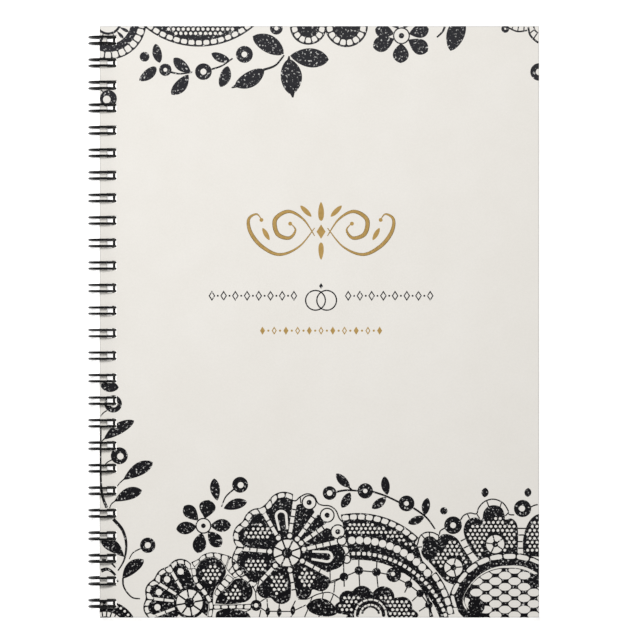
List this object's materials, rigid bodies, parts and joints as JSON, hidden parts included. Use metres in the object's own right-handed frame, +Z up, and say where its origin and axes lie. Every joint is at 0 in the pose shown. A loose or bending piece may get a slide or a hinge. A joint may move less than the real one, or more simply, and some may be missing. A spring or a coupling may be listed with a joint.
{
  "type": "wire-bound guest book",
  "caption": "Closed wire-bound guest book with laminated card covers and paper leaves that turn about a twin-loop wire along the spine.",
  "frame": {"origin": "middle of the closed book's whole box, loops included, on the surface that it lies on", "axes": "+Z up out of the front cover, +Y along the spine towards the top of the page, +X from the spine towards the fore edge"},
  "size_m": [0.1695, 0.2222, 0.0107],
  "materials": {
    "cover_card": "satin",
    "leaf_paper": "matte",
    "wire_coat": "satin",
    "lace_ink": "satin",
    "gold_ink": "satin"
  },
  "bodies": {
    "back_and_wire": {"back_cover": "cover_card", "binding_wire": "wire_coat"},
    "rear_leaves": {"leaf_17": "leaf_paper", "leaf_18": "leaf_paper", "leaf_19": "leaf_paper", "leaf_20": "leaf_paper", "leaf_21": "leaf_paper", "leaf_22": "leaf_paper", "leaf_23": "leaf_paper", "leaf_24": "leaf_paper", "leaf_25": "leaf_paper", "leaf_26": "leaf_paper", "leaf_27": "leaf_paper", "leaf_28": "leaf_paper", "leaf_29": "leaf_paper", "leaf_30": "leaf_paper"},
    "front_leaves": {"leaf_03": "leaf_paper", "leaf_04": "leaf_paper", "leaf_05": "leaf_paper", "leaf_06": "leaf_paper", "leaf_07": "leaf_paper", "leaf_08": "leaf_paper", "leaf_09": "leaf_paper", "leaf_10": "leaf_paper", "leaf_11": "leaf_paper", "leaf_12": "leaf_paper", "leaf_13": "leaf_paper", "leaf_14": "leaf_paper", "leaf_15": "leaf_paper", "leaf_16": "leaf_paper"},
    "second_leaf": {"leaf_02": "leaf_paper"},
    "first_leaf": {"leaf_01": "leaf_paper"},
    "front_cover": {"front_cover": "cover_card"}
  },
  "joints": [
    {"name": "rear_leaves_turn", "type": "hinge", "parent": "back_and_wire", "child": "rear_leaves", "pos_m": [-0.0804, 0, 0.00534], "axis": [0, -1, 0], "range_deg": [0, 180]},
    {"name": "front_leaves_turn", "type": "hinge", "parent": "rear_leaves", "child": "front_leaves", "pos_m": [-0.0804, 0, 0.00534], "axis": [0, -1, 0], "range_deg": [0, 180]},
    {"name": "second_leaf_turn", "type": "hinge", "parent": "front_leaves", "child": "second_leaf", "pos_m": [-0.0804, 0, 0.00534], "axis": [0, -1, 0], "range_deg": [0, 180]},
    {"name": "first_leaf_turn", "type": "hinge", "parent": "second_leaf", "child": "first_leaf", "pos_m": [-0.0804, 0, 0.00534], "axis": [0, -1, 0], "range_deg": [0, 180]},
    {"name": "front_cover_turn", "type": "hinge", "parent": "first_leaf", "child": "front_cover", "pos_m": [-0.0804, 0, 0.00534], "axis": [0, -1, 0], "range_deg": [0, 180]}
  ]
}
